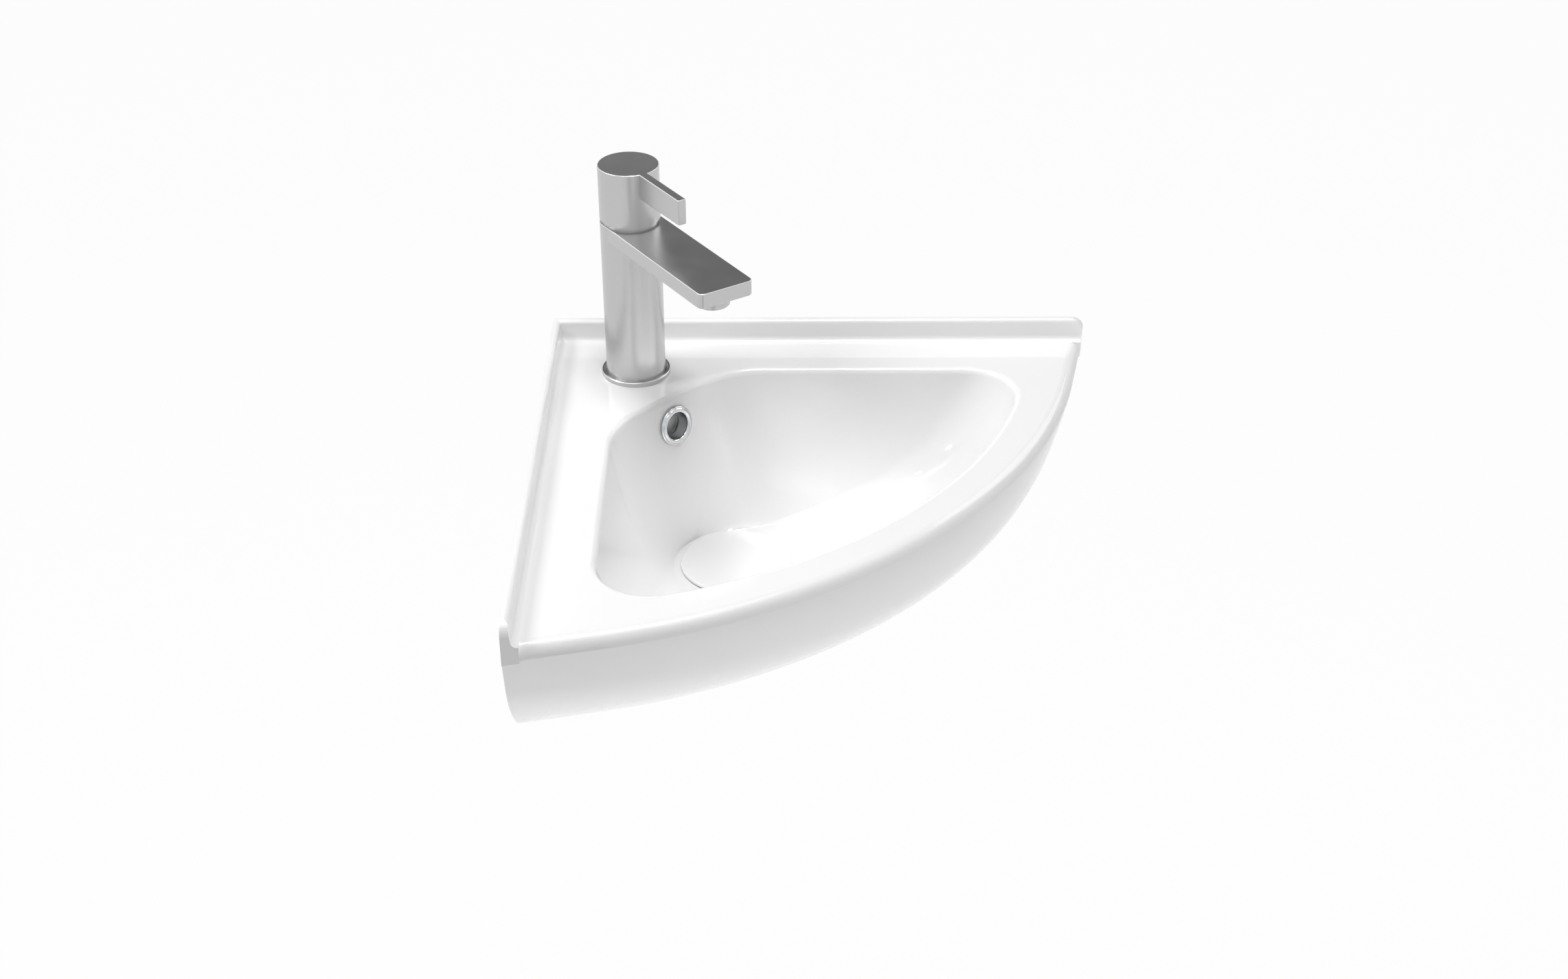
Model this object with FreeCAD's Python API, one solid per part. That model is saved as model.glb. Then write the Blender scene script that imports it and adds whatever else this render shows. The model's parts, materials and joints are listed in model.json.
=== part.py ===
import FreeCAD, Part
import math
import os

from FreeCAD import Rotation, Vector

# Corner basin with a one-hole tap, an overflow ring and a push waste. Millimetres.
# Frame: the origin is the room corner at the top of the upstand, +X runs along the back wall,
# -Y along the left wall, +Z up. The bowl is symmetric about the diagonal that halves the corner.
# "Depth" is a distance below the top of the upstand.

# --- basin, outside ---
wall_length = 398.8          # along each wall, from the corner to the end of the basin
corner_to_front = 381.1      # along the diagonal
end_straight = 61.5          # straight stretch of the front outline beside each wall
upstand_height = 16.5        # from the deck to the top of the upstand
upstand_flat = 2.2           # flat top of the upstand, from the wall
upstand_top_radius = 3.0
upstand_lean = 1.6           # how far its inner face leans out on the way down
upstand_cove_radius = 4.5
upstand_end_radius = 9.0
edge_radius = 8.5            # rounding between the deck and the apron
deck_thickness = 12.0
flange_thickness = 12.0      # ceramic that lies against each wall
apron_wall = 10.0
apron_widest_depth = 24.0
# Below the widest line the apron draws in: depth, inset at the wall ends, inset at the front.
apron_profile = [
    (40.0, 4.2, 1.8),
    (57.0, 9.0, 5.5),
    (80.0, 21.5, 14.0),
    (98.0, 36.0, 30.0),
    (114.0, 53.0, 49.0),
]

# --- bowl ---
rim_from_wall = 46.5         # from each wall to the start of the rim's rounding
rim_tap_side = 125.0         # along the diagonal, corner to the rim on the tap's side
rim_front = 356.0            # along the diagonal, corner to the front rim
rim_front_radius = 365.0
rim_tap_corner_radius = 65.0
rim_side_corner_radius = 40.0
rim_radius = 5.0
bowl_draft = 9.0             # degrees, the lean of the steep tap-side wall
bowl_wall = 8.0              # ceramic of the bowl, measured level and measured down
bowl_depth = 131.5           # floor round the waste, below the top of the upstand
bowl_floor_radius = 45.0     # flat land round the waste
land_rounding = 0.93         # corner radii of the land's outline, of a true circle's radius
# From rim to land: share of the depth, share of the way in at the tap, wall and front sides,
# and how far the outline has turned from the rim's shape to the land's circle.
bowl_levels = [
    (0.25, 0.22, 0.12, 0.085, 0.04),
    (0.50, 0.45, 0.28, 0.23, 0.14),
    (0.72, 0.66, 0.48, 0.45, 0.34),
    (0.88, 0.84, 0.70, 0.69, 0.62),
    (0.97, 0.96, 0.89, 0.90, 0.88),
]

# --- waste ---
waste_from_walls = 136.9
waste_hole_radius = 22.5
waste_recess_radius = 35.0
waste_recess_depth = 3.0
boss_radius = 40.0
boss_height = 16.0           # from the recess to the underside of the boss
cover_radius = 39.9
cover_edge = 3.0             # thickness of the cover at its edge
cover_crown = 1.6            # rise of its dome
cover_gap = 0.5              # shadow line between the closed cover and the ceramic
waste_tail_radius = 20.95    # G 1 1/4 thread
waste_tail_bore = 18.4
waste_tail_length = 70.5     # below the recess
outlet_thread_length = 36.0   # free end of the tail, below its groove
thread_groove = 2.0           # width of the groove between the nut's thread and the free one
groove_depth = 0.8
waste_flange_radius = 34.0
waste_flange_thickness = 1.8
waste_seat_width = 3.4       # chamfer round the mouth, where the stopper seals
seal_thickness = 1.2
slot_width = 11.0            # overflow slots in the tail
slot_height = 7.0
bridge_arm = 3.0
bridge_height = 6.0
bridge_drop = 14.0           # flange to bridge
hub_wall = 2.2
push_radius = 7.0
push_length = 34.0
push_head_radius = 8.6
push_head = 3.0
push_wall = 1.6
push_guide = 4.0             # thickness of the cap that guides the stem
stem_radius = 3.0
stopper_travel = 8.0
stem_foot = 3.0
spring_wire = 1.0
spring_turns = 6
plug_radius = 17.0
plug_height = 7.0
o_ring_wire = 1.1            # radius of the stopper seal's cord
o_ring_proud = 0.6           # of the cord's centre line, outside the plug
waste_washer_radius = 35.0
waste_washer_height = 6.0
waste_nut_flats = 52.0
waste_nut_height = 10.0

# --- overflow ---
overflow_depth = 39.0
overflow_hole_radius = 11.8
ring_radius = 14.8
ring_bore = 9.8
ring_proud = 3.4             # of the ring's face, in front of the ceramic
ring_sleeve_length = 7.0
ring_lip = 1.2
duct_width = 28.0
duct_depth = 7.0
duct_wall = 4.5

# --- tap ---
tap_along_wall = 64.3        # from the left wall
tap_from_wall = 53.0         # from the back wall
tap_turn = 56.9              # degrees that the spout is turned from the back wall
tap_hole_radius = 17.5
base_radius = 25.0
base_height = 3.5
base_rim = 1.6
base_dish = 1.4
base_seat = 1.6              # thickness under the body
base_seal_width = 4.0
base_seal_depth = 1.0
body_radius = 21.6
body_top = 122.5             # height of the spout's top above the deck
spout_reach = 128.5          # axis to the tip
spout_width = 42.3
spout_thickness = 11.0
spout_corner_radius = 4.5
edge_break = 0.8
waterway_width = 14.0
waterway_height = 4.0
waterway_roof = 2.4
aerator_setback = 18.7       # from the tip to the outlet's axis
aerator_radius = 11.7
aerator_drop = 8.6           # below the spout's underside
aerator_thread = 9.4
aerator_screwed = 3.6        # length of its thread in the spout
aerator_bore = 8.0
aerator_mesh = 1.2
jet_radius = 0.9
jet_pitch = 2.5
jet_rows = 5
valve_bore = 15.0
valve_depth = 34.0           # of the valve's bore in the body
valve_neck_radius = 9.0
valve_neck_height = 10.0
valve_shoulder = 6.0         # depth of the retaining ring's thread
neck_radius = 20.0           # retaining ring, seen as the dark groove under the head
neck_height = 1.9
head_gap = 0.4
head_height = 39.9
head_bore = 17.0
head_bore_depth = 14.0
spindle_radius = 4.0
spindle_in_head = 14.0
spindle_in_valve = 20.0
lever_reach = 72.4
lever_width = 6.5
lever_height = 18.5
grub_radius = 2.5
grub_height = 6.0            # above the head's inner roof
cap_radius = 3.6
cap_depth = 1.6
shank_radius = 10.48         # G 1/2 thread
shank_bore = 6.0
shank_length = 60.0          # below the deck
inlet_thread_length = 33.0    # free end of the shank, below its groove
shank_in_body = 12.0
shank_washer_radius = 21.0
rubber_washer_height = 3.0
metal_washer_height = 1.6
shank_nut_flats = 27.0
shank_nut_height = 8.0

# --- wall fixings ---
fixing_from_corner = 205.0
fixing_depth = 62.0
fixing_radius = 6.0

# --- clearances ---
running = 0.05               # radial, a shaft in its bore
clear = 0.3                  # between a moving piece and a fixed one
past = 20.0                  # how far a cutting body runs past what it cuts
near = 1e-4                  # for telling levels apart

# --- derived levels (z) ---
deck_z = -upstand_height
under_deck_z = deck_z - deck_thickness
apron_foot_z = -apron_profile[-1][0]
floor_z = -bowl_depth
recess_z = floor_z - waste_recess_depth
boss_bottom_z = recess_z - boss_height
flange_z = recess_z + seal_thickness
mouth_z = flange_z + waste_flange_thickness
bridge_z = mouth_z - bridge_drop
cover_z = floor_z + cover_gap
push_top_z = bridge_z + push_head
stem_foot_z = push_top_z - push_guide - clear - stopper_travel - stem_foot
spring_foot_z = push_top_z - push_length + push_wall
o_ring_radius = plug_radius + o_ring_proud
seat_cone_z = mouth_z - waste_tail_bore - waste_seat_width  # tip of the seat's cone, on the axis
o_ring_z = seat_cone_z + o_ring_radius + (o_ring_wire + clear) * math.sqrt(2)
body_foot_z = deck_z + base_seat
body_top_z = deck_z + body_top
spout_under_z = body_top_z - spout_thickness
head_z = body_top_z + neck_height + head_gap
head_top_z = head_z + head_height
head_roof_z = head_z + head_bore_depth
aerator_z = spout_under_z - aerator_drop

UP = Vector(0, 0, 1)
waste_axis = Vector(waste_from_walls, -waste_from_walls, 0)
tap_axis = Vector(tap_along_wall, -tap_from_wall, 0)


def diagonal(s, t, z):
    """Point at s along the basin's diagonal, t across it (towards the back wall), height z."""
    return Vector((s + t) / math.sqrt(2), (t - s) / math.sqrt(2), z)


def mirrored(p):
    """The same point on the other side of the diagonal."""
    return Vector(-p.y, -p.x, p.z)


def revolved(path, base=Vector(0, 0, 0)):
    """Solid turned about the vertical axis through base.

    The path is closed. Each entry is a point (radius, z), or a pair of points for an arc that
    passes through the first and ends at the second.
    """
    def point(p):
        return Vector(base.x + p[0], base.y, p[1])

    edges = []
    here = path[0]
    for step in path[1:] + [path[0]]:
        if isinstance(step[0], tuple):
            edges.append(Part.Arc(point(here), point(step[0]), point(step[1])).toShape())
            here = step[1]
        else:
            edges.append(Part.LineSegment(point(here), point(step)).toShape())
            here = step
    return Part.Face(Part.Wire(edges)).revolve(base, UP, 360)


def disc(base, radius, z0, z1):
    return Part.makeCylinder(radius, z1 - z0, Vector(base.x, base.y, z0))


def ring(base, inner, outer, z0, z1):
    return disc(base, outer, z0, z1).cut(disc(base, inner, z0 - past, z1 + past))


def prism(points, length):
    """The polygon through the points, extruded by the vector length."""
    return Part.Face(Part.makePolygon(points + [points[0]])).extrude(length)


def nut(base, flats, bore, z0, z1):
    """Hexagon nut with the corners of both faces turned off."""
    corner = flats / math.sqrt(3)
    angles = [math.radians(60 * k) for k in range(6)]
    points = [Vector(base.x + corner * math.cos(a), base.y + corner * math.sin(a), z0) for a in angles]
    blank = prism(points, Vector(0, 0, z1 - z0))
    trim = corner - flats / 2
    turned = revolved([(bore, z0), (flats / 2, z0), (corner, z0 + trim), (corner, z1 - trim),
                       (flats / 2, z1), (bore, z1)], base)
    return blank.common(turned)


def groove(base, radius, z):
    """Ring that cuts the thread-relief groove, from height z upward, into a tube."""
    return ring(base, radius - groove_depth, radius + past, z, z + thread_groove)


def level_edges(shape, z):
    """Edges of the shape that lie level at height z."""
    return [e for e in shape.Edges if abs(e.BoundBox.ZMin - z) < near and abs(e.BoundBox.ZMax - z) < near]


def upright_edges(shape, reach):
    """Upright straight edges of the shape that lie further out than reach along +X."""
    edges = []
    for e in shape.Edges:
        box = e.BoundBox
        if box.XLength < near and box.YLength < near and box.XMin > reach:
            edges.append(e)
    return edges


def between(rows, column, at):
    """Value of a column of the rows at a position along their first column, by straight lines."""
    for low, high in zip(rows, rows[1:]):
        if at <= high[0]:
            share = (at - low[0]) / (high[0] - low[0])
            return low[column] + share * (high[column] - low[column])
    return rows[-1][column]


# ---------------------------------------------------------------- basin


def front_outline(inset_ends, inset_front, z):
    """Closed level outline: straight end, front arc, straight end, and round behind the walls."""
    length = wall_length - inset_ends
    reach = corner_to_front - inset_front
    shift = (length ** 2 - reach ** 2 - end_straight ** 2) / (2 * (math.sqrt(2) * reach - length))
    radius = reach + math.sqrt(2) * shift
    centre = Vector(-shift, shift, z)
    end = Vector(length, 0, z)
    out = end - centre
    angle = math.atan2(out.y, out.x) - math.acos(radius / out.Length)
    tangent = centre + Vector(radius * math.cos(angle), radius * math.sin(angle), 0)
    start = end + (end - tangent).normalize() * past
    corner = Vector(-past, past, z)
    return Part.Wire([
        Part.LineSegment(start, tangent).toShape(),
        Part.Arc(tangent, diagonal(reach, 0, z), mirrored(tangent)).toShape(),
        Part.LineSegment(mirrored(tangent), mirrored(start)).toShape(),
        Part.LineSegment(mirrored(start), corner).toShape(),
        Part.LineSegment(corner, start).toShape(),
    ])


def room_quarter(inset, z0, z1):
    """Box that fills the room's corner, held off both walls by the inset."""
    side = wall_length + past
    return Part.makeBox(side, side, z1 - z0, Vector(inset, -inset - side, z0))


def apron_loft(inset, top_z, foot_z):
    """Apron drawn through level outlines, all held in by the inset."""
    rows = [(0.0, 0.0, 0.0), (apron_widest_depth, 0.0, 0.0)] + apron_profile
    depths = [-top_z] + [row[0] for row in rows if -top_z < row[0] < -foot_z] + [-foot_z]
    outlines = []
    for depth in depths:
        at_ends = between(rows, 1, depth)
        at_front = between(rows, 2, depth)
        outlines.append(front_outline(inset + at_ends, inset + at_front, -depth))
    return Part.makeLoft(outlines, True, False)


def upstand_profile():
    """Section of the upstand: flat top, rounding, leaning face, cove, then down into the deck."""
    r, c = upstand_top_radius, upstand_cove_radius
    lean = math.atan2(upstand_lean, upstand_height)
    face_top = Vector(0, -upstand_flat - r * math.cos(lean), -r + r * math.sin(lean))
    down = Vector(0, -math.sin(lean), -math.cos(lean))
    drop = upstand_height + face_top.z - c * (1 - math.sin(lean))
    face_foot = face_top + down * (drop / math.cos(lean))
    cove_y = face_foot.y - c * math.cos(lean)
    round_turn = (math.pi / 2 - lean) / 2
    round_mid = Vector(0, -upstand_flat - r * math.sin(round_turn), -r + r * math.cos(round_turn))
    cove_turn = math.pi / 2 - round_turn
    cove_mid = Vector(0, cove_y + c * math.sin(cove_turn), deck_z + c - c * math.cos(cove_turn))
    cove_foot = Vector(0, cove_y, deck_z)
    return Part.Wire([
        Part.LineSegment(Vector(0, 0, 0), Vector(0, -upstand_flat, 0)).toShape(),
        Part.Arc(Vector(0, -upstand_flat, 0), round_mid, face_top).toShape(),
        Part.LineSegment(face_top, face_foot).toShape(),
        Part.Arc(face_foot, cove_mid, cove_foot).toShape(),
        Part.LineSegment(cove_foot, Vector(0, cove_y, under_deck_z)).toShape(),
        Part.LineSegment(Vector(0, cove_y, under_deck_z), Vector(0, 0, under_deck_z)).toShape(),
        Part.LineSegment(Vector(0, 0, under_deck_z), Vector(0, 0, 0)).toShape(),
    ])


def upstands():
    """Both upstands, mitred in the corner, with their far ends rounded down to the edge."""
    along_back = Part.Face(upstand_profile()).extrude(Vector(wall_length + past, 0, 0))
    along_left = along_back.mirror(Vector(0, 0, 0), Vector(1, 1, 0))
    plan = Part.Face(front_outline(0, 0, under_deck_z)).extrude(Vector(0, 0, -under_deck_z))
    rounded = plan.makeFillet(upstand_end_radius, level_edges(plan, 0)[:3])
    return along_back.fuse(along_left).common(rounded).common(room_quarter(0, under_deck_z, past))


def deck_and_apron():
    body = apron_loft(0, deck_z, apron_foot_z).common(room_quarter(0, apron_foot_z, deck_z))
    brow = [e for e in level_edges(body, deck_z) if isinstance(e.Curve, Part.BSplineCurve)]
    return body.makeFillet(edge_radius, brow)


def bowl_outline(tap_side, from_wall, front, front_radius, tap_radius, side_radius, z):
    """Closed level outline of the bowl: straight tap side, two straight wall sides, front arc,
    and a round corner between each two of them. Worked out across the diagonal."""
    def pair(s, t):
        return diagonal(s, t, z), diagonal(s, -t, z)

    half = 1 / math.sqrt(2)
    wall_cut = from_wall * math.sqrt(2)
    tap_s = tap_side + tap_radius
    tap_t = tap_s - wall_cut - tap_radius / half
    tap_start = pair(tap_side, tap_t)
    tap_mid = pair(tap_s - tap_radius * math.cos(math.pi / 8), tap_t + tap_radius * math.sin(math.pi / 8))
    tap_end = pair(tap_s - tap_radius * half, tap_t + tap_radius * half)
    arc_s = front - front_radius
    line = wall_cut + side_radius / half
    reach = front_radius - side_radius
    middle = (arc_s + line) / 2
    side_s = middle + math.sqrt(middle ** 2 - (arc_s ** 2 + line ** 2 - reach ** 2) / 2)
    side_t = side_s - line
    side_start = pair(side_s - side_radius * half, side_t + side_radius * half)
    bearing = math.atan2(side_t, side_s - arc_s)
    side_end = pair(side_s + side_radius * math.cos(bearing), side_t + side_radius * math.sin(bearing))
    turn = (bearing + 3 * math.pi / 4) / 2
    side_mid = pair(side_s + side_radius * math.cos(turn), side_t + side_radius * math.sin(turn))
    return Part.Wire([
        Part.LineSegment(tap_start[1], tap_start[0]).toShape(),
        Part.Arc(tap_start[0], tap_mid[0], tap_end[0]).toShape(),
        Part.LineSegment(tap_end[0], side_start[0]).toShape(),
        Part.Arc(side_start[0], side_mid[0], side_end[0]).toShape(),
        Part.Arc(side_end[0], diagonal(front, 0, z), side_end[1]).toShape(),
        Part.Arc(side_end[1], side_mid[1], side_start[1]).toShape(),
        Part.LineSegment(side_start[1], tap_end[1]).toShape(),
        Part.Arc(tap_end[1], tap_mid[1], tap_start[1]).toShape(),
    ])


def bowl_sections():
    """Level sections of the bowl from the deck to the land, each a row of bowl_outline's values."""
    rounding = rim_radius * math.tan(math.radians(90 - bowl_draft) / 2)
    waste_s = waste_from_walls * math.sqrt(2)
    rim = (rim_tap_side + rounding, rim_from_wall + rounding, rim_front - rounding,
           rim_front_radius - rounding, rim_tap_corner_radius - rounding, rim_side_corner_radius - rounding)
    r = bowl_floor_radius
    tight = r * land_rounding
    land = (waste_s - r, waste_from_walls - r, waste_s + r, r / land_rounding, tight, tight)
    rows = []
    for depth, tap, wall, front, turn in [(0, 0, 0, 0, 0)] + bowl_levels + [(1, 1, 1, 1, 1)]:
        shares = (tap, wall, front, turn, turn, turn)
        row = [a + share * (b - a) for a, b, share in zip(rim, land, shares)]
        rows.append(row + [deck_z + depth * (floor_z - deck_z)])
    return rows


def bowl_solid(thickness):
    """Bowl cavity, grown by the thickness outward and downward."""
    outlines = []
    for tap_side, from_wall, front, front_radius, tap_radius, side_radius, z in bowl_sections():
        outlines.append(bowl_outline(
            tap_side - thickness, from_wall - thickness, front + thickness, front_radius + thickness,
            tap_radius + thickness, side_radius + thickness, z - thickness))
    return Part.makeLoft(outlines, True, False)


def tap_wall_at(z):
    """Position along the diagonal, and lean in radians, of the bowl's tap-side wall at height z."""
    rows = [(row[6], row[0]) for row in reversed(bowl_sections())]
    for (low, s_low), (high, s_high) in zip(rows, rows[1:]):
        if low <= z <= high:
            lean = math.atan2(s_low - s_high, high - low)
            return s_low + (z - low) / (high - low) * (s_high - s_low), lean
    raise ValueError("no bowl wall at this height")


def overflow_frame(shape):
    """Moves a shape made about +Z at the origin onto the overflow's axis on the tap-side wall."""
    s, lean = tap_wall_at(-overflow_depth)
    placed = shape.copy()
    axis = diagonal(math.cos(lean), 0, math.sin(lean))
    placed.Placement = FreeCAD.Placement(diagonal(s, 0, -overflow_depth), Rotation(UP, axis))
    return placed


def duct_points(back, below):
    """Section along the diagonal of the overflow duct behind the tap-side wall, its back and its
    floor moved out by the given amounts."""
    top_z = under_deck_z + duct_wall / 2
    s_top = tap_wall_at(top_z)[0] - bowl_wall / 2
    s_foot = tap_wall_at(floor_z)[0] - bowl_wall / 2
    inlet_z = recess_z - duct_wall
    floor = boss_bottom_z + duct_wall - below
    waste_s = waste_from_walls * math.sqrt(2)
    return [(s_top, top_z), (s_foot, inlet_z), (waste_s - waste_tail_radius, inlet_z),
            (waste_s - waste_tail_radius, floor), (s_foot - duct_depth - back, floor),
            (s_top - duct_depth - back, top_z)]


def duct(back, below, width):
    points = [diagonal(s, -width / 2, z) for s, z in duct_points(back, below)]
    return prism(points, diagonal(0, width, 0))


def fixing_holes():
    """One hole through each wall flange."""
    r = fixing_radius
    reach = flange_thickness + 2 * r
    in_back = Vector(fixing_from_corner, r, -fixing_depth)
    in_left = Vector(-r, -fixing_from_corner, -fixing_depth)
    back = Part.makeCylinder(r, reach, in_back, Vector(0, -1, 0))
    return back.fuse(Part.makeCylinder(r, reach, in_left, Vector(1, 0, 0)))


def basin():
    """One ceramic casting: deck, upstands, apron, bowl, waste boss and overflow duct."""
    under = apron_loft(apron_wall, under_deck_z, apron_foot_z - past)
    under = under.common(room_quarter(flange_thickness, apron_foot_z - past, under_deck_z))
    body = deck_and_apron().fuse(upstands()).removeSplitter().cut(under)
    body = body.fuse(bowl_solid(bowl_wall))
    body = body.fuse(disc(waste_axis, boss_radius, boss_bottom_z, floor_z))
    body = body.fuse(duct(duct_wall, duct_wall, duct_width + 2 * duct_wall))
    body = body.cut(bowl_solid(0))
    rim = [e for e in level_edges(body, deck_z) if in_bowl_rim(e)]
    body = body.makeFillet(rim_radius, rim)
    body = body.cut(duct(0, 0, duct_width))
    body = body.cut(disc(waste_axis, waste_recess_radius, recess_z, floor_z + past))
    body = body.cut(disc(waste_axis, waste_hole_radius, boss_bottom_z - past, floor_z + past))
    hole = disc(Vector(0, 0, 0), overflow_hole_radius, -bowl_wall - duct_depth / 2, past)
    body = body.cut(overflow_frame(hole))
    body = body.cut(disc(tap_axis, tap_hole_radius, under_deck_z - past, deck_z + past))
    return body.cut(fixing_holes())


def in_bowl_rim(edge):
    """True for an edge of the bowl's mouth, which lies inside the deck's own outline."""
    box = edge.BoundBox
    wall_side = rim_from_wall / 2
    far = wall_length - wall_side
    middle = edge.CenterOfMass
    inside = box.XMin > wall_side and box.YMax < -wall_side and box.XMax < far and box.YMin > -far
    return inside and middle.x - middle.y < (rim_front + rim_radius) * math.sqrt(2)


def overflow_ring():
    """Bezel with a rounded face and a sleeve that plugs into the ceramic."""
    middle = (ring_bore + ring_radius) / 2
    sleeve = overflow_hole_radius - running
    lip = ring_radius - ring_lip
    return overflow_frame(revolved([
        (ring_bore, -ring_sleeve_length), (sleeve, -ring_sleeve_length), (sleeve, running), (lip, running),
        ((ring_radius, ring_lip + running), (lip, 2 * ring_lip + running)),
        ((middle, ring_proud), (ring_bore, ring_proud / 2))]))


# ---------------------------------------------------------------- waste


def waste_body():
    """Flange and threaded tail in one piece, with a sealing chamfer, overflow slots and the
    four-armed bridge that carries the push cartridge."""
    tail_end = recess_z - waste_tail_length
    shell = revolved([
        (waste_tail_bore, mouth_z - waste_seat_width), (waste_tail_bore + waste_seat_width, mouth_z),
        (waste_flange_radius, mouth_z), (waste_flange_radius, flange_z), (waste_tail_radius, flange_z),
        (waste_tail_radius, tail_end), (waste_tail_bore, tail_end)], waste_axis)
    shell = shell.cut(groove(waste_axis, waste_tail_radius, tail_end + outlet_thread_length))
    reach = waste_tail_radius + past
    slot = Part.makeBox(2 * reach, slot_width, slot_height,
                        Vector(-reach, -slot_width / 2, boss_bottom_z + duct_wall))
    for turn in (45, 135):
        cutter = slot.copy()
        cutter.rotate(Vector(0, 0, 0), UP, turn)
        shell = shell.cut(cutter.translate(waste_axis))
    span = waste_tail_radius + waste_tail_bore
    foot = bridge_z - bridge_height
    arm = Part.makeBox(span, bridge_arm, bridge_height, Vector(-span / 2, -bridge_arm / 2, foot))
    bridge = disc(Vector(0, 0, 0), push_radius + hub_wall, foot, bridge_z)
    for turn in (0, 90):
        turned_arm = arm.copy()
        turned_arm.rotate(Vector(0, 0, 0), UP, turn)
        bridge = bridge.fuse(turned_arm)
    socket = disc(waste_axis, push_radius, bridge_z - past, bridge_z + past)
    bridge = bridge.translate(waste_axis).cut(socket)
    return shell.fuse(bridge).removeSplitter()


def waste_top_seal():
    return ring(waste_axis, waste_tail_radius + running, waste_flange_radius, recess_z, flange_z)


def waste_bottom_seal():
    """Tapered rubber washer: its cone centres the tail in the boss's hole."""
    foot = boss_bottom_z - waste_washer_height
    bore = waste_tail_radius + running
    tip = boss_bottom_z + waste_hole_radius - bore
    return revolved([
        (bore, foot), (waste_washer_radius, foot), (waste_washer_radius, boss_bottom_z),
        (waste_hole_radius, boss_bottom_z), (bore, tip)], waste_axis)


def waste_nut():
    top = boss_bottom_z - waste_washer_height
    return nut(waste_axis, waste_nut_flats, waste_tail_radius + running, top - waste_nut_height, top)


def push_cartridge():
    """Barrel of the push mechanism: screwed in the bridge, guiding the stem, hollow for the spring."""
    foot = push_top_z - push_length
    chamber = push_radius - push_wall
    guide = push_top_z - push_guide
    return revolved([
        (stem_radius + running, push_top_z), (push_head_radius, push_top_z), (push_head_radius, bridge_z),
        (push_radius, bridge_z), (push_radius, foot), (0, foot), (0, foot + push_wall),
        (chamber, foot + push_wall), (chamber, guide), (stem_radius + running, guide)], waste_axis)


def push_spring():
    """Compression spring between the cartridge's floor and the stem's foot."""
    r = spring_wire / 2
    height = stem_foot_z - spring_foot_z - spring_wire
    coil = stem_radius + running + r
    helix = Part.makeHelix(height / spring_turns, height, coil)
    wire_end = Part.Wire(Part.makeCircle(r, Vector(coil, 0, 0), Vector(0, 1, 0)))
    spring = Part.Wire(helix).makePipeShell([wire_end], True, False)
    return spring.translate(waste_axis + Vector(0, 0, spring_foot_z + r))


def stopper_stem():
    """Push rod: thin above, with a foot that the spring bears on."""
    foot_radius = push_radius - push_wall - clear
    top = cover_z - plug_height
    return revolved([(0, stem_foot_z), (foot_radius, stem_foot_z), (foot_radius, stem_foot_z + stem_foot),
                     (stem_radius, stem_foot_z + stem_foot), (stem_radius, top), (0, top)], waste_axis)


def stopper_plug():
    """Plug under the cover, with a round groove for its seal."""
    reach = math.sqrt(o_ring_wire ** 2 - (o_ring_radius - plug_radius) ** 2)
    foot = cover_z - plug_height
    groove_bottom = o_ring_radius - o_ring_wire
    return revolved([
        (0, foot), (plug_radius - edge_break, foot), (plug_radius, foot + edge_break),
        (plug_radius, o_ring_z - reach), ((groove_bottom, o_ring_z), (plug_radius, o_ring_z + reach)),
        (plug_radius, cover_z), (0, cover_z)], waste_axis)


def stopper_seal():
    return Part.makeTorus(o_ring_radius, o_ring_wire, waste_axis + Vector(0, 0, o_ring_z))


def waste_cover():
    """Glazed disc with softened edges and a very slight dome."""
    top = cover_z + cover_edge
    crown = top + cover_crown
    shoulder = cover_radius - edge_break
    dome_radius = (shoulder ** 2 + cover_crown ** 2) / (2 * cover_crown)
    middle = shoulder / 2
    middle_z = crown - dome_radius + math.sqrt(dome_radius ** 2 - middle ** 2)
    return revolved([
        (0, cover_z), (cover_radius - edge_break, cover_z), (cover_radius, cover_z + edge_break),
        (cover_radius, top - edge_break), (shoulder, top), ((middle, middle_z), (0, crown))], waste_axis)


# ---------------------------------------------------------------- tap


def along_spout(shape):
    """Turns a shape made about the tap's axis, pointing along +X, to the spout's direction."""
    placed = shape.copy()
    placed.rotate(Vector(0, 0, 0), UP, -tap_turn)
    return placed.translate(tap_axis)


def base_ring():
    """Thin dished flange under the body, hollowed below for its seal."""
    top = deck_z + base_height
    bore = shank_radius + running
    seal_out = base_radius - base_rim
    seal_in = seal_out - base_seal_width
    seal_roof = deck_z + base_seal_depth
    flat = body_radius + running
    return revolved([
        (bore, deck_z), (seal_in, deck_z), (seal_in, seal_roof), (seal_out, seal_roof),
        (seal_out, deck_z), (base_radius, deck_z), (base_radius, top - edge_break / 2),
        (base_radius - edge_break / 2, top), (base_radius - base_rim, top),
        (flat, top - base_dish), (flat, body_foot_z), (bore, body_foot_z)], tap_axis)


def base_seal():
    outer = base_radius - base_rim
    return ring(tap_axis, outer - base_seal_width, outer, deck_z, deck_z + base_seal_depth)


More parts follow.
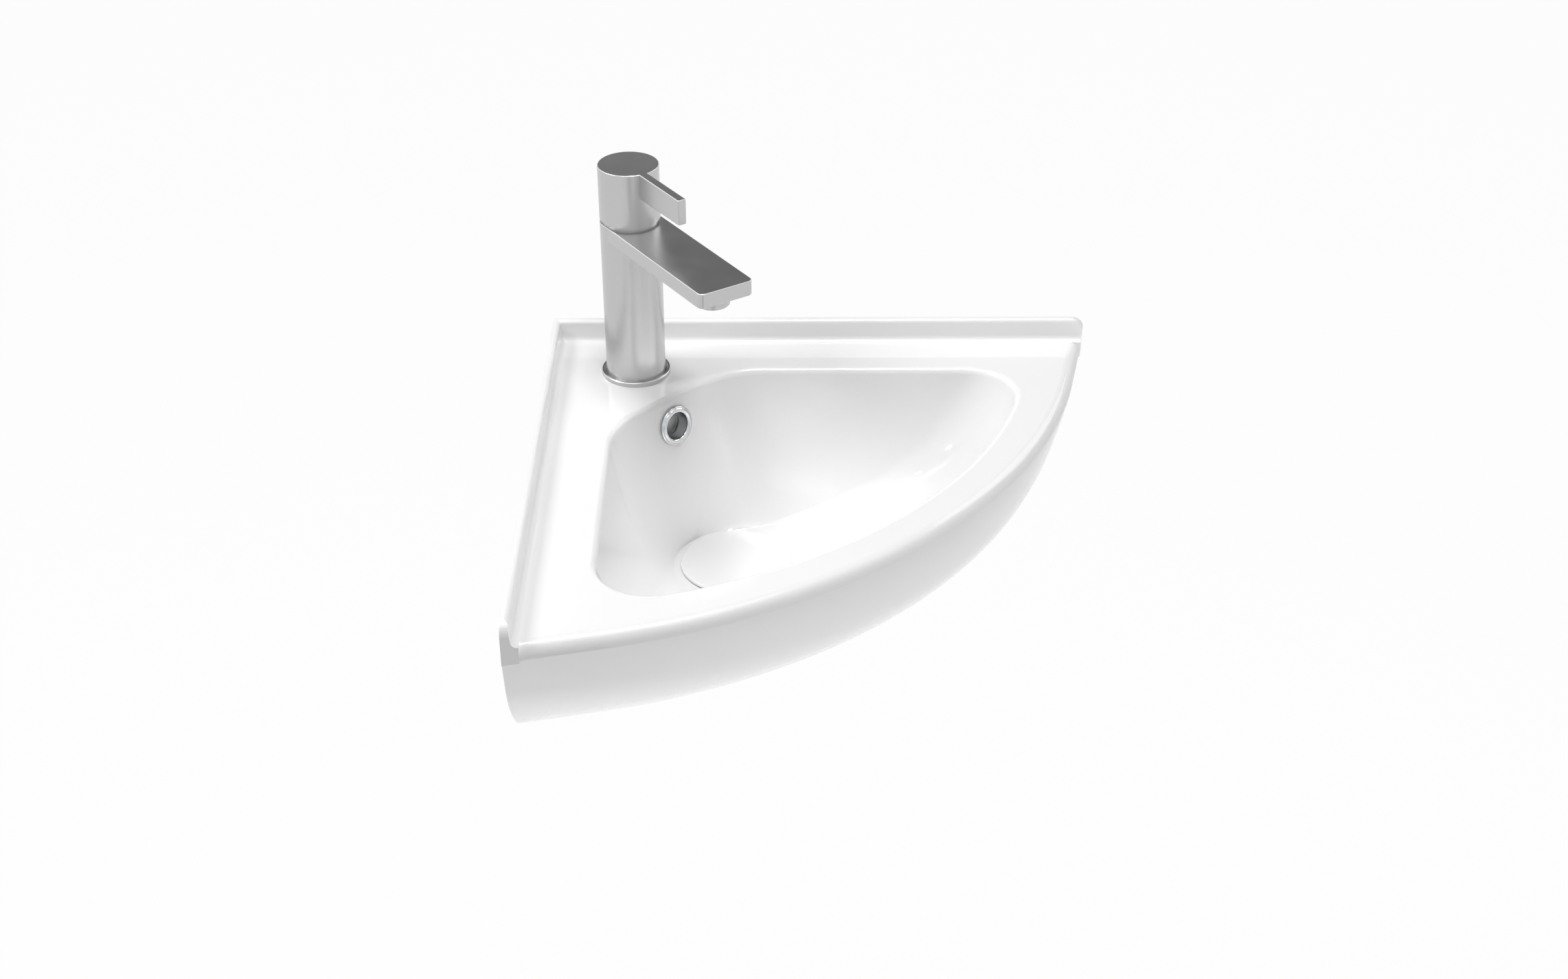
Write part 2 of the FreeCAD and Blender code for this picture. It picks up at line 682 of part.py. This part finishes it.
def tap_body():
    """Round body and flat spout in one piece, bored for the valve, the waterway and the outlet."""
    origin = Vector(0, 0, 0)
    body = disc(origin, body_radius, body_foot_z, body_top_z)
    root = Vector(0, -spout_width / 2, spout_under_z)
    slab = Part.makeBox(spout_reach, spout_width, spout_thickness, root)
    slab = slab.makeFillet(spout_corner_radius, upright_edges(slab, body_radius))
    body = body.fuse(slab).removeSplitter()
    clear_of_body = body_radius + spout_corner_radius
    under = [e for e in level_edges(body, spout_under_z) if e.BoundBox.XMax > clear_of_body]
    rims = level_edges(body, body_top_z) + under
    body = body.makeFillet(edge_break, rims)
    outlet = Vector(spout_reach - aerator_setback, 0, 0)
    roof = body_top_z - waterway_roof
    body = body.cut(disc(origin, valve_bore, body_top_z - valve_depth, body_top_z + past))
    body = body.cut(Part.makeBox(outlet.x, waterway_width, waterway_height,
                                 Vector(0, -waterway_width / 2, roof - waterway_height)))
    body = body.cut(disc(outlet, aerator_thread, spout_under_z - past, roof))
    body = body.cut(disc(origin, shank_radius, body_foot_z - past, body_foot_z + shank_in_body))
    body = body.cut(disc(origin, shank_bore, body_foot_z - past, body_top_z - valve_depth))
    return along_spout(body)


def outlet_at():
    """Axis of the outlet under the spout's tip."""
    a = math.radians(tap_turn)
    reach = spout_reach - aerator_setback
    return tap_axis + Vector(reach * math.cos(a), -reach * math.sin(a), 0)


def aerator_housing():
    """Round outlet, screwed up into the spout."""
    top = spout_under_z + aerator_screwed
    thread = aerator_thread - running
    lip = aerator_bore - aerator_mesh
    return revolved([
        (aerator_bore, aerator_z), (aerator_radius - edge_break, aerator_z),
        (aerator_radius, aerator_z + edge_break), (aerator_radius, spout_under_z), (thread, spout_under_z),
        (thread, top), (lip, top), (lip, top - aerator_mesh),
        (aerator_bore, top - aerator_mesh)], outlet_at())


def aerator_insert():
    """Cage of the aerator: a drum with a grid of jet holes."""
    foot = aerator_z + edge_break
    top = spout_under_z + aerator_screwed - aerator_mesh
    drum = disc(Vector(0, 0, 0), aerator_bore - running, foot, top)
    half = jet_rows // 2
    for i in range(-half, half + 1):
        for j in range(-half, half + 1):
            spot = Vector((i + j / 2) * jet_pitch, j * jet_pitch * math.sqrt(3) / 2, 0)
            if spot.Length + jet_radius < aerator_bore - aerator_mesh:
                drum = drum.cut(disc(spot, jet_radius, foot - past, spout_under_z + past))
    return along_spout(drum.translate(Vector(spout_reach - aerator_setback, 0, 0)))


def aerator_seal():
    top = spout_under_z + aerator_screwed
    bore = aerator_bore - aerator_mesh
    return ring(outlet_at(), bore, aerator_thread - running, top, top + seal_thickness)


def valve_cartridge():
    """Quarter-turn valve: drum in the body, shoulder under the retaining ring, neck round the spindle."""
    foot = body_top_z - valve_depth + seal_thickness
    drum = valve_bore - running
    shoulder = body_top_z - valve_shoulder
    neck_top = body_top_z + valve_neck_height
    bore = spindle_radius + running
    blind = body_top_z - spindle_in_valve - clear
    return revolved([(0, foot), (drum, foot), (drum, shoulder), (valve_neck_radius, shoulder),
                     (valve_neck_radius, neck_top), (bore, neck_top), (bore, blind), (0, blind)], tap_axis)


def valve_seal():
    foot = body_top_z - valve_depth
    return ring(tap_axis, shank_bore, valve_bore - running, foot, foot + seal_thickness)


def retaining_ring():
    """Threaded ring that holds the valve down; its collar is the dark neck under the head."""
    bore = valve_neck_radius + running
    thread = valve_bore - running
    foot = body_top_z - valve_shoulder
    top = body_top_z + neck_height
    return revolved([
        (bore, foot), (thread, foot), (thread, body_top_z), (neck_radius, body_top_z),
        (neck_radius, top), (bore, top)], tap_axis)


def spindle():
    """Valve spindle, with a flat for the grub screw."""
    foot = body_top_z - spindle_in_valve
    top = head_roof_z + spindle_in_head
    bar = disc(Vector(0, 0, 0), spindle_radius, foot, top)
    behind_flat = Vector(-spindle_radius + edge_break - past, -past / 2, head_roof_z)
    flat = Part.makeBox(past, past, spindle_in_head, behind_flat)
    return along_spout(bar.cut(flat))


def handle():
    """Round head and flat lever in one piece, hollow below, with a socket and a cross hole."""
    origin = Vector(0, 0, 0)
    head = disc(origin, body_radius, head_z, head_top_z)
    root = Vector(0, -lever_width / 2, head_top_z - lever_height)
    lever = Part.makeBox(lever_reach, lever_width, lever_height, root)
    body = head.fuse(lever).removeSplitter()
    soft = [e for e in body.Edges if e.BoundBox.ZMin > head_top_z - lever_height - running
            and (e.BoundBox.ZMin > head_top_z - running or e.BoundBox.XMax > body_radius + running)]
    body = body.makeFillet(edge_break, soft)
    body = body.cut(disc(origin, head_bore, head_z - past, head_roof_z))
    body = body.cut(disc(origin, spindle_radius, head_roof_z - past, head_roof_z + spindle_in_head))
    body = body.cut(cross_bar(grub_radius, 0, body_radius + past))
    body = body.cut(cross_bar(cap_radius, body_radius - cap_depth, body_radius + past))
    return along_spout(body)


def cross_bar(radius, start, end):
    """Level bar behind the tap's axis, away from the lever, at the grub screw's height."""
    base = Vector(-start, 0, head_roof_z + grub_height)
    return Part.makeCylinder(radius, end - start, base, Vector(-1, 0, 0))


def grub_screw():
    end = body_radius - cap_depth - edge_break
    return along_spout(cross_bar(grub_radius, spindle_radius - edge_break, end))


def grub_cap():
    """Cap over the grub screw, flush with the head."""
    cap = cross_bar(cap_radius, body_radius - cap_depth, body_radius + past)
    return along_spout(cap.common(disc(Vector(0, 0, 0), body_radius, head_z, head_top_z)))


def shank():
    """Threaded inlet tube, screwed up into the body."""
    foot = deck_z - shank_length
    tube = ring(tap_axis, shank_bore, shank_radius, foot, body_foot_z + shank_in_body)
    return tube.cut(groove(tap_axis, shank_radius, foot + inlet_thread_length))


def shank_rubber_washer():
    foot = under_deck_z - rubber_washer_height
    return ring(tap_axis, shank_radius + running, shank_washer_radius, foot, under_deck_z)


def shank_metal_washer():
    top = under_deck_z - rubber_washer_height
    return ring(tap_axis, shank_radius + running, shank_washer_radius, top - metal_washer_height, top)


def shank_nut():
    top = under_deck_z - rubber_washer_height - metal_washer_height
    return nut(tap_axis, shank_nut_flats, shank_radius + running, top - shank_nut_height, top)


PARTS = {
    "basin": basin, "overflow_ring": overflow_ring,
    "tap_body": tap_body, "tap_base_ring": base_ring, "tap_base_seal": base_seal,
    "valve_cartridge": valve_cartridge, "valve_seal": valve_seal, "valve_retaining_ring": retaining_ring,
    "aerator_housing": aerator_housing, "aerator_insert": aerator_insert, "aerator_seal": aerator_seal,
    "tap_shank": shank, "shank_rubber_washer": shank_rubber_washer,
    "shank_metal_washer": shank_metal_washer, "shank_nut": shank_nut,
    "tap_handle": handle, "handle_spindle": spindle, "handle_grub_screw": grub_screw, "handle_cap": grub_cap,
    "waste_body": waste_body, "waste_top_seal": waste_top_seal, "waste_bottom_seal": waste_bottom_seal,
    "waste_nut": waste_nut, "push_cartridge": push_cartridge, "push_spring": push_spring,
    "waste_cover": waste_cover, "stopper_plug": stopper_plug, "stopper_seal": stopper_seal,
    "stopper_stem": stopper_stem,
}

os.makedirs("parts", exist_ok=True)
for name, make in PARTS.items():
    solid = make()
    solid.exportStep(f"parts/{name}.step")
    print(name, solid.isValid(), len(solid.Solids), round(solid.Volume / 1000, 3))
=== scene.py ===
import json
import math

import bpy
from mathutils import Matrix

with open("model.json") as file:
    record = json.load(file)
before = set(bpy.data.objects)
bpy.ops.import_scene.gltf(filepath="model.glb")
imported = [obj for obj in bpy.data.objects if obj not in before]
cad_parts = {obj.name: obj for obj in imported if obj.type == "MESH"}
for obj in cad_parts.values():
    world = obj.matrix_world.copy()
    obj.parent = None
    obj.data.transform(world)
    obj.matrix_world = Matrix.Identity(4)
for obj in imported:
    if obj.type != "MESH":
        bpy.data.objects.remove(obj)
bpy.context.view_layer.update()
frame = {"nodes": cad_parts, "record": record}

# Corner basin in glazed white ceramic with a satin steel tap, a chrome overflow ring and a glazed
# waste cover. Metres; +X along the back wall, -Y along the left wall, +Z up, origin in the corner.

MM = 0.001
WHITE = "#ffffff"

# ---------------------------------------------------------------- colours and node helpers


def linear(hex_colour):
    """sRGB hex to the linear RGBA that Blender's sockets take, opaque."""
    parts = [int(hex_colour[i:i + 2], 16) / 255 for i in (1, 3, 5)]
    return [c / 12.92 if c <= 0.04045 else ((c + 0.055) / 1.055) ** 2.4 for c in parts] + [1.0]


def add(tree, kind, settings=None, **inputs):
    """Adds one node. Settings are its properties; inputs are values, or sockets to link from.
    An input goes by its socket's name with _ for a space, or by its place as _0, _1 or _2."""
    node = tree.nodes.new(kind)
    for name, value in (settings or {}).items():
        setattr(node, name, value)
    for name, value in inputs.items():
        key = int(name[1:]) if name[1:].isdigit() else name.replace("_", " ")
        socket = node.inputs[key]
        if isinstance(value, bpy.types.NodeSocket):
            tree.links.new(value, socket)
        else:
            socket.default_value = value
    return node


def new_material(name):
    material = bpy.data.materials.new(name)
    material.use_nodes = True
    material.node_tree.nodes.clear()
    return material, material.node_tree


def finish_material(tree, surface):
    add(tree, "ShaderNodeOutputMaterial", Surface=surface)


def object_place(tree):
    return add(tree, "ShaderNodeTexCoord").outputs["Object"]


def uneven(tree, place, grain, detail, strength, depth):
    """Normal of a slightly uneven skin, from the grain's size and depth in millimetres."""
    noise = add(tree, "ShaderNodeTexNoise", Vector=place, Scale=1 / (grain * MM), Detail=detail)
    bump = add(tree, "ShaderNodeBump", Height=noise.outputs["Fac"], Strength=strength,
               Distance=depth * MM)
    return bump.outputs["Normal"]


def cloudy(tree, place, cloud_size, low, high):
    """Roughness that drifts between two values over clouds of a size in millimetres."""
    cloud = add(tree, "ShaderNodeTexNoise", Vector=place, Scale=1 / (cloud_size * MM), Detail=3.0)
    rough = add(tree, "ShaderNodeMapRange", Value=cloud.outputs["Fac"], To_Min=low, To_Max=high)
    return rough.outputs["Result"]


def finish_principled(tree, colour, **inputs):
    surface = add(tree, "ShaderNodeBsdfPrincipled", Base_Color=linear(colour), **inputs)
    finish_material(tree, surface.outputs["BSDF"])


# ---------------------------------------------------------------- materials


def glazed_vitreous_china():
    """Vitreous china, slip cast, sprayed with white glaze and fired: a hard mirror skin over a
    white body, with the very shallow ripple that the glaze keeps as it flows."""
    material, tree = new_material("glazed_vitreous_china")
    ripple = uneven(tree, object_place(tree), grain=45, detail=1.0, strength=0.3, depth=0.02)
    finish_principled(tree, "#f6f6f6", Roughness=0.07, IOR=1.52, Normal=ripple)
    return material


def satin_steel():
    """Stainless steel, bead blasted and lightly brushed: a soft wide reflection with a faint
    grain of about half a millimetre."""
    material, tree = new_material("satin_stainless_steel")
    place = object_place(tree)
    grain = uneven(tree, place, grain=0.5, detail=2.0, strength=0.25, depth=0.02)
    rough = cloudy(tree, place, cloud_size=18, low=0.27, high=0.33)
    finish_principled(tree, "#c1c1c1", Metallic=1.0, Roughness=rough, Normal=grain)
    return material


def polished_chrome():
    """Brass, polished and chrome plated: a sharp mirror with a faint cool cast."""
    material, tree = new_material("polished_chrome_plate")
    finish_principled(tree, "#c6c7c9", Metallic=1.0, Roughness=0.06)
    return material


def turned_brass():
    """Free-cutting brass, turned: a fine uneven grain and a warm satin face."""
    material, tree = new_material("turned_brass")
    grain = uneven(tree, object_place(tree), grain=0.8, detail=1.0, strength=0.2, depth=0.03)
    finish_principled(tree, "#c9a85c", Metallic=1.0, Roughness=0.32, Normal=grain)
    return material


def moulded_rubber():
    """EPDM rubber, moulded: black, matt, slightly uneven."""
    material, tree = new_material("moulded_epdm_rubber")
    skin = uneven(tree, object_place(tree), grain=1.5, detail=2.0, strength=0.3, depth=0.05)
    finish_principled(tree, "#1d1d1e", Roughness=0.72, Normal=skin)
    return material


def moulded_plastic():
    """Acetal, injection moulded: off-white with a faint spark-eroded grain."""
    material, tree = new_material("moulded_acetal")
    skin = uneven(tree, object_place(tree), grain=0.7, detail=1.0, strength=0.2, depth=0.02)
    finish_principled(tree, "#d8d7d2", Roughness=0.45, Normal=skin)
    return material


def zinc_plated_steel():
    """Mild steel, stamped and zinc plated: cool grey with a cloudy sheen."""
    material, tree = new_material("zinc_plated_steel")
    rough = cloudy(tree, object_place(tree), cloud_size=6, low=0.25, high=0.45)
    finish_principled(tree, "#aeb1b5", Metallic=1.0, Roughness=rough)
    return material


FINISHES = {
    "glazed_ceramic": glazed_vitreous_china(),
    "satin_steel": satin_steel(),
    "polished_chrome": polished_chrome(),
    "brass": turned_brass(),
    "rubber": moulded_rubber(),
    "plastic": moulded_plastic(),
    "spring_steel": zinc_plated_steel(),
}

for part in frame["record"]["subparts"]:
    node = frame["nodes"][part["node"]]
    for slot in node.material_slots:
        slot.material = FINISHES[part["material_slot"]]

# ---------------------------------------------------------------- room, light and camera

FLOOR_DROP = 0.85       # room floor below the rim, where such a basin hangs
FLOOR_HALF = 9.0        # half the floor's side
FLOOR_GLOW = 0.97       # share of plain white in the floor as it is seen
FILL_STRENGTH = 0.06    # of the room's own light on the object

LENS_MM = 50.0
SENSOR_MM = 36.0
CAMERA_PLACE = (0.163886, -1.457443, 0.760344)
CAMERA_TILT = 57.926    # degrees up from straight down
CAMERA_TURN = -0.365    # degrees off square to the back wall
FARTHEST_SEEN = 50.0

MIDDLE = (0.15, -0.15, 0.0)         # over the bowl
FRONT_RIGHT = (0.3, -0.35, 0.0)     # before the apron's right half

# Name, place, target, size, watts, and whether polished faces mirror it.
LAMPS = [
    ("overhead", (0.2, -0.5, 1.9), MIDDLE, (1.6, 1.6), 12.5, True),
    ("above_bowl", (0.3, -0.3, 1.7), MIDDLE, (0.5, 0.5), 12.2, True),
    ("high_left", (-1.3, -0.3, 1.5), MIDDLE, (0.6, 0.6), 15.5, True),
    ("behind_left", (-1.2, 1.0, 1.3), MIDDLE, (1.2, 1.2), 6.2, True),
    ("behind_right", (1.6, 1.0, 1.2), MIDDLE, (1.2, 1.2), 7.0, True),
    ("left", (-1.8, -0.9, 0.9), MIDDLE, (1.2, 1.6), 1.5, False),
    ("left_low", (-1.4, -1.4, -0.3), MIDDLE, (1.0, 1.0), 4.0, False),
    ("right_low", (1.1, -1.1, -0.35), MIDDLE, (0.9, 0.9), 3.8, False),
    ("below", (0.5, -0.6, -0.83), FRONT_RIGHT, (1.0, 1.0), 5.0, False),
]

CARD_LEVEL = -0.84      # just over the floor

# Name, corners and colour.
CARDS = [
    ("black_card_behind",
     [(-3, 3.0, 1.2), (3, 3.0, 1.2), (3, 2.0, 4.5), (-3, 2.0, 4.5)], "#282828"),
    ("grey_card_in_front",
     [(0.0, -3.2, CARD_LEVEL), (0.7, -3.2, CARD_LEVEL), (0.45, -0.9, CARD_LEVEL),
      (0.05, -0.9, CARD_LEVEL)], "#8a8a8a"),
]


def seen_or_mirrored(tree):
    """1 for a ray from the camera, a mirror reflection or a look through glass, else 0."""
    path = add(tree, "ShaderNodeLightPath")
    seen = add(tree, "ShaderNodeMath", {"operation": "MAXIMUM"}, _0=path.outputs["Is Camera Ray"],
               _1=path.outputs["Is Glossy Ray"])
    return add(tree, "ShaderNodeMath", {"operation": "MAXIMUM"}, _0=seen.outputs["Value"],
               _1=path.outputs["Is Transmission Ray"]).outputs["Value"]


def white_backdrop_world():
    """Weak white fill for the object, and full white where the room is seen or mirrored."""
    world = bpy.data.worlds.new("soft_room")
    world.use_nodes = True
    tree = world.node_tree
    tree.nodes.clear()
    fill = add(tree, "ShaderNodeBackground", Color=linear(WHITE), Strength=FILL_STRENGTH)
    white = add(tree, "ShaderNodeBackground", Color=linear(WHITE), Strength=1.0)
    mix = add(tree, "ShaderNodeMixShader", Fac=seen_or_mirrored(tree),
              _1=fill.outputs["Background"], _2=white.outputs["Background"])
    add(tree, "ShaderNodeOutputWorld", Surface=mix.outputs["Shader"])
    bpy.context.scene.world = world


def four_cornered(name, corners):
    """One flat face of the set, which is no piece of the object."""
    mesh = bpy.data.meshes.new(name)
    mesh.from_pydata(corners, [], [(0, 1, 2, 3)])
    sheet = bpy.data.objects.new(name, mesh)
    bpy.context.scene.collection.objects.link(sheet)
    return sheet


def pale_floor():
    """Room floor: seen as white, and still keeping the object's shadow."""
    half = FLOOR_HALF
    floor = four_cornered("floor", [(-half, -half, -FLOOR_DROP), (half, -half, -FLOOR_DROP),
                                    (half, half, -FLOOR_DROP), (-half, half, -FLOOR_DROP)])
    material, tree = new_material("pale_floor_paint")
    paint = add(tree, "ShaderNodeBsdfDiffuse", Color=linear("#f8f8f8"))
    white = add(tree, "ShaderNodeEmission", Color=linear(WHITE), Strength=1.0)
    share = add(tree, "ShaderNodeMath", {"operation": "MULTIPLY"}, _0=seen_or_mirrored(tree),
                _1=FLOOR_GLOW)
    mix = add(tree, "ShaderNodeMixShader", Fac=share.outputs["Value"], _1=paint.outputs["BSDF"],
              _2=white.outputs["Emission"])
    finish_material(tree, mix.outputs["Shader"])
    floor.data.materials.append(material)


def softbox(name, place, target, size, watts, mirrored):
    """Soft light that faces the target. Where it isn't mirrored, polished faces don't show it."""
    lamp = bpy.data.lights.new(name, "AREA")
    lamp.shape = "RECTANGLE"
    lamp.size, lamp.size_y = size
    lamp.energy = watts
    light = bpy.data.objects.new(name, lamp)
    bpy.context.scene.collection.objects.link(light)
    aim = [t - p for t, p in zip(target, place)]
    length = math.sqrt(sum(a * a for a in aim))
    light.location = place
    light.rotation_euler = (math.acos(-aim[2] / length), 0,
                            math.atan2(aim[1], aim[0]) - math.pi / 2)
    light.visible_camera = False
    light.visible_glossy = mirrored


def card(name, corners, colour):
    """Card of one even grey that only reflections see: metal that faces it turns darker."""
    sheet = four_cornered(name, corners)
    material, tree = new_material(name)
    glow = add(tree, "ShaderNodeEmission", Color=linear(colour), Strength=1.0)
    finish_material(tree, glow.outputs["Emission"])
    sheet.data.materials.append(material)
    sheet.visible_camera = False
    sheet.visible_diffuse = False
    sheet.visible_shadow = False


def camera():
    """Camera of the photograph: looks down about 32 degrees, almost square to the back wall."""
    data = bpy.data.cameras.new("camera")
    data.lens = LENS_MM
    data.sensor_width = SENSOR_MM
    data.clip_end = FARTHEST_SEEN
    view = bpy.data.objects.new("camera", data)
    bpy.context.scene.collection.objects.link(view)
    view.location = CAMERA_PLACE
    view.rotation_euler = (math.radians(CAMERA_TILT), 0, math.radians(CAMERA_TURN))
    bpy.context.scene.camera = view


white_backdrop_world()
pale_floor()
for lamp_row in LAMPS:
    softbox(*lamp_row)
for card_row in CARDS:
    card(*card_row)
camera()

bpy.context.scene.view_settings.view_transform = "Standard"
